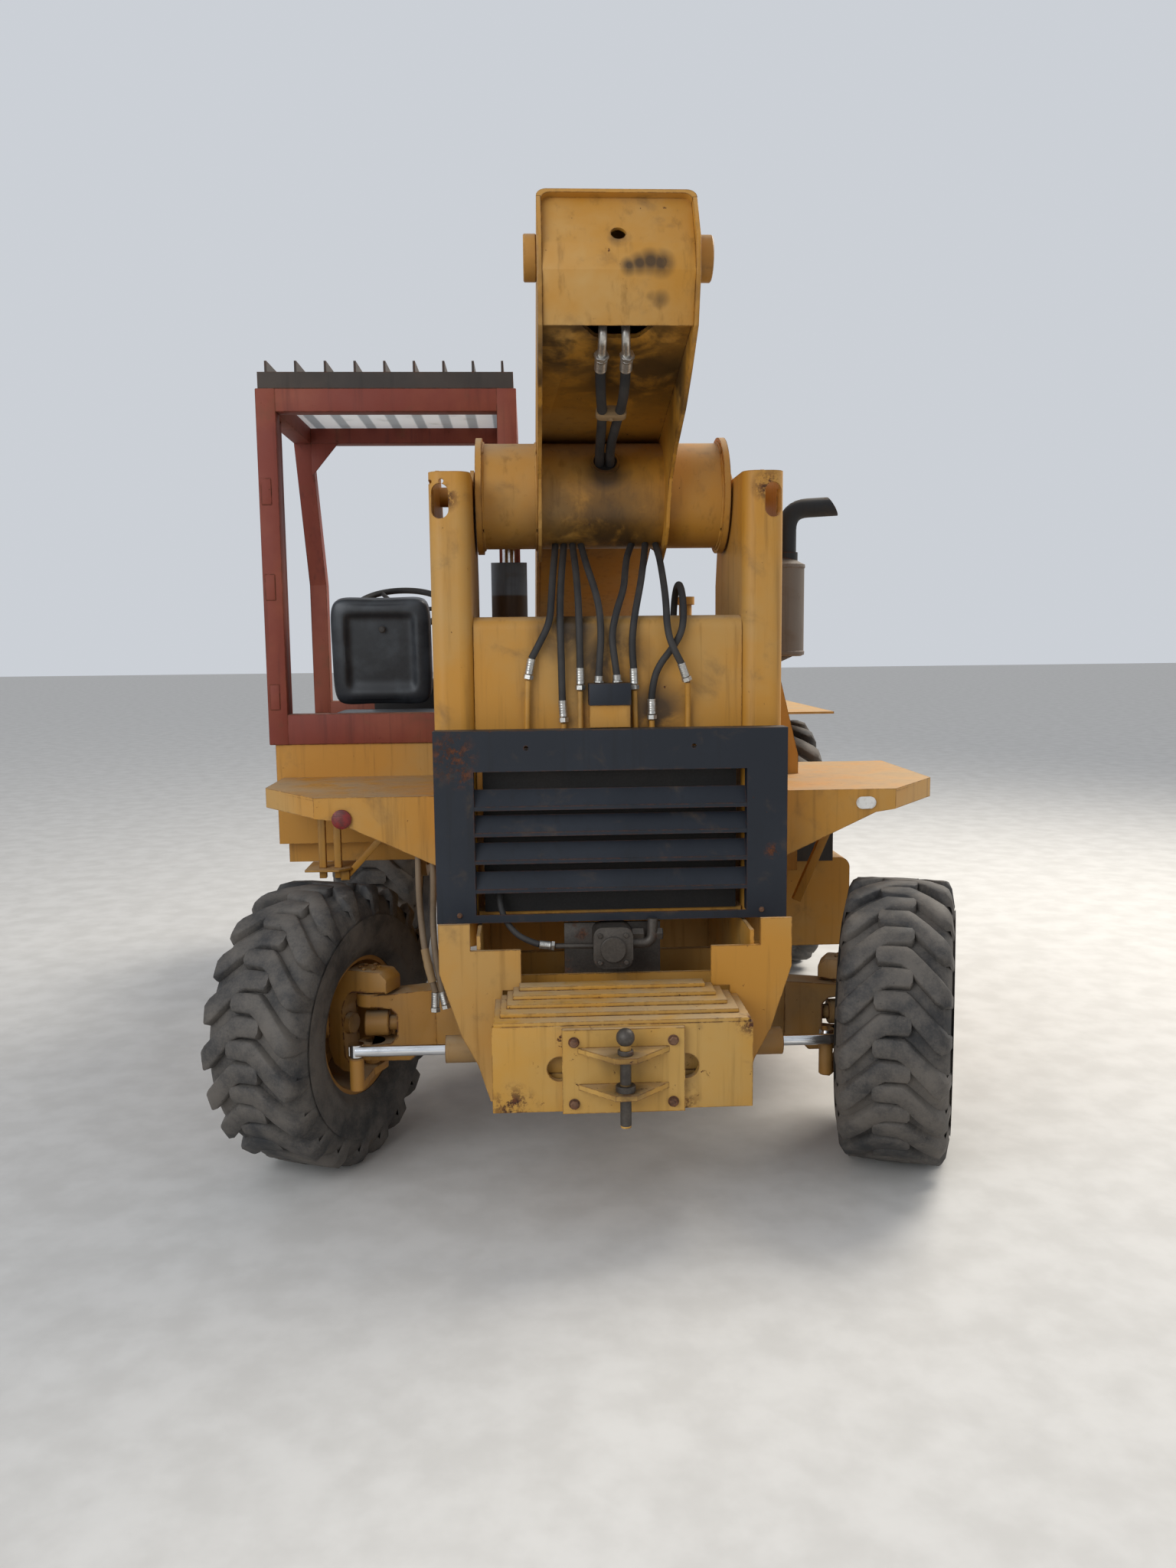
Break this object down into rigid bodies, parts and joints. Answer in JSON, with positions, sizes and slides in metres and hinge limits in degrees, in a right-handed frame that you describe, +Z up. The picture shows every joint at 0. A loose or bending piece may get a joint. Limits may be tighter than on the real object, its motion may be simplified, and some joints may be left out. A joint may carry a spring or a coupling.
{
  "type": "telehandler",
  "caption": "Rear-engined telehandler with a high telescopic boom on two towers, an open cab frame, fork carriage and steered rear wheels.",
  "frame": {"origin": "bottom centre of the bounding box, on the ground", "axes": "+Y is forward, towards the forks, +X is the machine's right, +Z is up"},
  "size_m": [2.4523, 5.2539, 2.8381],
  "materials": {
    "yellow": "worn ochre paint",
    "tyre": "dusty",
    "rim": "rusty",
    "navy_paint": "satin",
    "red_paint": "matt",
    "dark_steel": "matt",
    "skylight": "clear",
    "seat": "worn vinyl",
    "dark_plastic": "matt",
    "rusty_steel": "rusty",
    "engine": "oily",
    "chrome": "polished",
    "grey_steel": "satin",
    "dark_paint": "matt",
    "lamp": "dull"
  },
  "bodies": {
    "chassis": {"battery_box": "dark_paint", "cab_body": "yellow", "cab_frame": "red_paint", "chassis_frame": "yellow", "console": "dark_plastic", "counterweight": "yellow", "cross_member": "yellow", "engine_block": "engine", "engine_cowl": "yellow", "exhaust": "rusty_steel", "front_axle": "yellow", "front_fenders": "yellow", "gear_pump": "engine", "gearbox": "engine", "grille": "navy_paint", "hydraulic_tank": "yellow", "lamps": "lamp", "radiator": "dark_steel", "rear_axle": "yellow", "rear_fenders": "yellow", "roof_guard": "dark_steel", "seat": "seat", "side_tank": "yellow", "skylight": "skylight", "steering_cylinder": "dark_steel", "steering_wheel": "dark_plastic", "tow_hitch": "yellow", "towers": "yellow"},
    "boom": {"boom_outer": "yellow", "boom_end_cap": "yellow", "pivot_tube": "yellow"},
    "boom_inner": {"boom_inner": "yellow"},
    "carriage": {"carriage": "yellow", "forks": "dark_steel"},
    "lift_barrel": {"lift_barrel": "yellow"},
    "lift_rod": {"lift_rod": "chrome"},
    "tilt_barrel": {"tilt_barrel": "yellow"},
    "tilt_rod": {"tilt_rod": "chrome"},
    "level_barrel": {"level_barrel": "grey_steel"},
    "level_rod": {"level_rod": "chrome"},
    "knuckle_left": {"knuckle_left": "yellow"},
    "knuckle_right": {"knuckle_right": "yellow"},
    "steer_rod": {"steer_rod": "chrome"},
    "wheel_rear_left": {"tyre_rear_left": "tyre", "rim_rear_left": "rim"},
    "wheel_rear_right": {"tyre_rear_right": "tyre", "rim_rear_right": "rim"},
    "wheel_front_left": {"tyre_front_left": "tyre", "rim_front_left": "rim"},
    "wheel_front_right": {"tyre_front_right": "tyre", "rim_front_right": "rim"}
  },
  "joints": [
    {"name": "boom_lift", "type": "hinge", "parent": "chassis", "child": "boom", "pos_m": [0, -1.681, 2.145], "axis": [1, 0, 0], "range_deg": [0, 64]},
    {"name": "boom_extend", "type": "slide", "parent": "boom", "child": "boom_inner", "axis": [0, 0.9397, -0.342], "range_m": [0, 1.8]},
    {"name": "carriage_tilt", "type": "hinge", "parent": "boom_inner", "child": "carriage", "pos_m": [0, 1.27717, 0.53623], "axis": [1, 0, 0], "range_deg": [-80, 15]},
    {"name": "steering", "type": "hinge", "parent": "chassis", "child": "knuckle_left", "pos_m": [-0.77, -1.981, 0.45], "axis": [0, 0, 1], "range_deg": [-8, 56]},
    {"name": "knuckle_right_turn", "type": "hinge", "parent": "chassis", "child": "knuckle_right", "pos_m": [0.77, -1.981, 0.45], "axis": [0, 0, 1], "range_deg": [-6.5, 45.5]},
    {"name": "steer_rod_slide", "type": "slide", "parent": "chassis", "child": "steer_rod", "axis": [1, 0, 0], "range_m": [-0.02186, 0.15302]},
    {"name": "lift_barrel_swing", "type": "hinge", "parent": "chassis", "child": "lift_barrel", "pos_m": [0, -1.341, 0.9], "axis": [1, 0, 0], "range_deg": [0, 39.53]},
    {"name": "lift_rod_slide", "type": "slide", "parent": "lift_barrel", "child": "lift_rod", "axis": [0, 0.8603, 0.5098], "range_m": [0, 1.14454]},
    {"name": "level_barrel_swing", "type": "hinge", "parent": "chassis", "child": "level_barrel", "pos_m": [-0.31, -1.421, 1.04], "axis": [1, 0, 0], "range_deg": [0, 0.8976]},
    {"name": "level_rod_slide", "type": "slide", "parent": "level_barrel", "child": "level_rod", "axis": [0, -0.0447, 0.999], "range_m": [0, 0.25069]},
    {"name": "tilt_barrel_swing", "type": "hinge", "parent": "boom_inner", "child": "tilt_barrel", "pos_m": [0, 0.77927, 1.18569], "axis": [1, 0, 0], "range_deg": [-7.4, 1.39]},
    {"name": "tilt_rod_slide", "type": "slide", "parent": "tilt_barrel", "child": "tilt_rod", "axis": [0, 0.8639, -0.5037], "range_m": [-0.07799, 0.41596]},
    {"name": "wheel_rear_left_spin", "type": "hinge", "parent": "knuckle_left", "child": "wheel_rear_left", "pos_m": [-0.92256, -1.91308, 0.45], "axis": [0.9135, -0.4067, 0], "continuous": true},
    {"name": "wheel_rear_right_spin", "type": "hinge", "parent": "knuckle_right", "child": "wheel_rear_right", "pos_m": [0.92742, -2.03675, 0.45], "axis": [0.9426, -0.3338, 0], "continuous": true},
    {"name": "wheel_front_left_spin", "type": "hinge", "parent": "chassis", "child": "wheel_front_left", "pos_m": [-0.985, 0.369, 0.625], "axis": [1, 0, 0], "continuous": true},
    {"name": "wheel_front_right_spin", "type": "hinge", "parent": "chassis", "child": "wheel_front_right", "pos_m": [0.985, 0.369, 0.625], "axis": [1, 0, 0], "continuous": true}
  ],
  "couplings": [
    {"joint": "knuckle_right_turn", "follows": "steering", "ratio": 0.8125},
    {"joint": "steer_rod_slide", "follows": "steering", "m_per_rad": 0.15655},
    {"joint": "lift_barrel_swing", "follows": "boom_lift", "ratio": 0.6176},
    {"joint": "lift_rod_slide", "follows": "boom_lift", "m_per_rad": 1.0246},
    {"joint": "level_barrel_swing", "follows": "boom_lift", "ratio": 0.014023},
    {"joint": "level_rod_slide", "follows": "boom_lift", "m_per_rad": 0.22443},
    {"joint": "tilt_barrel_swing", "follows": "carriage_tilt", "ratio": 0.092481},
    {"joint": "tilt_rod_slide", "follows": "carriage_tilt", "m_per_rad": -0.29791}
  ]
}
